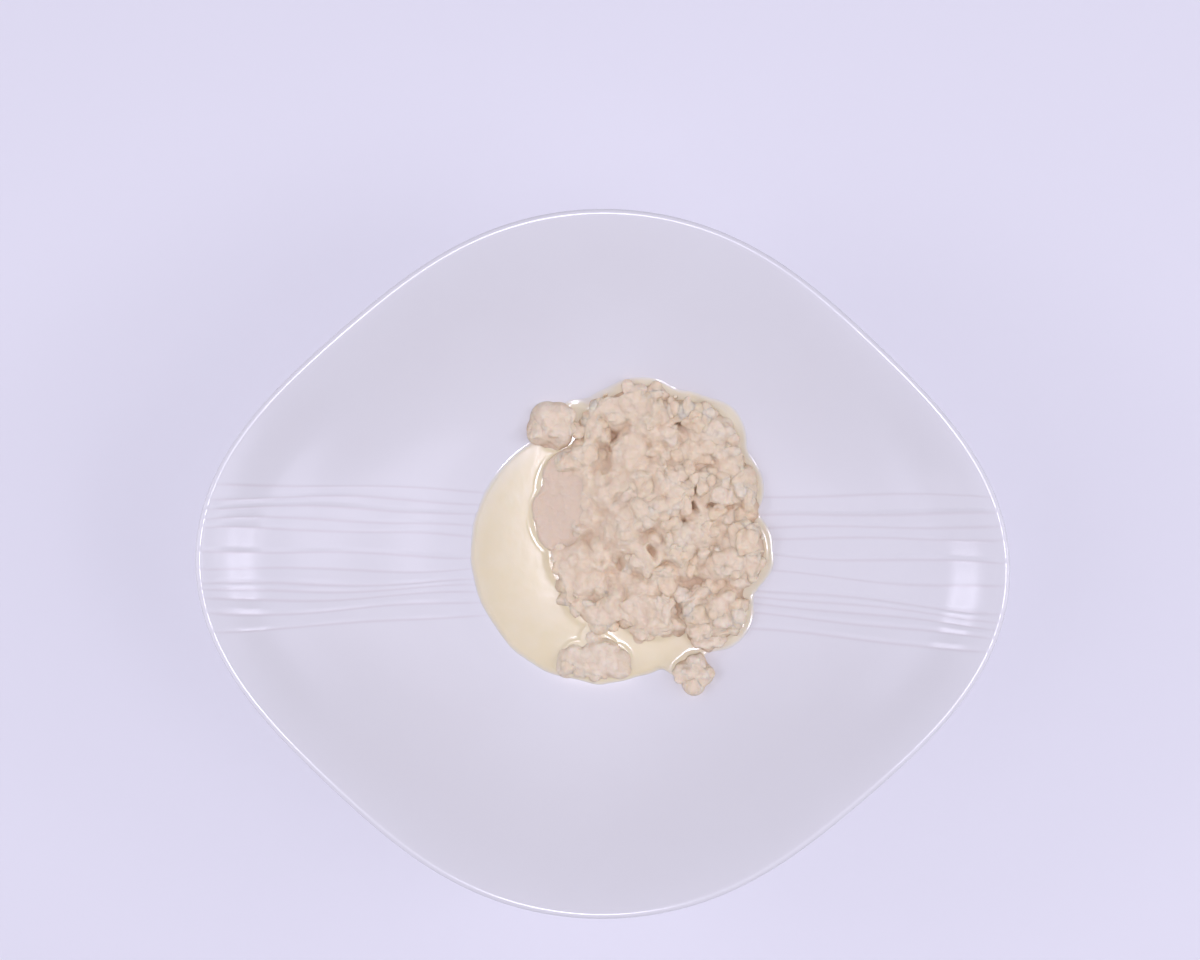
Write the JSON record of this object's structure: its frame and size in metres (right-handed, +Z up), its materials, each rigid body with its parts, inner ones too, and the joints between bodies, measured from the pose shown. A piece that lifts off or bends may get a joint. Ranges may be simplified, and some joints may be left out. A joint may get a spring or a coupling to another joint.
{
  "type": "cheese curd crumble in cream sauce in a bowl",
  "caption": "Rounded-lozenge porcelain bowl with pleated tips, holding a heap of pale cheese curds in a shallow pool of cream sauce, with clumps of curd lying apart from the heap.",
  "frame": {"origin": "middle of the bowl's foot ring, on the surface it stands on", "axes": "+X along the bowl's length towards its right tip, +Y towards its back side, +Z up"},
  "size_m": [0.2899, 0.256, 0.0627],
  "materials": {
    "porcelain": "clear-glazed white porcelain, glossy, faintly cool",
    "cream_sauce": "wet pale yellow cream, smooth and glossy",
    "curd": "moist beige curd, soft sheen over a fine grain"
  },
  "bodies": {
    "root": {"bowl": "porcelain", "sauce_pool": "cream_sauce", "curd_heap": "curd", "clump_by_heap": "curd", "clump_in_pool": "curd", "clump_at_edge": "curd"}
  },
  "joints": []
}
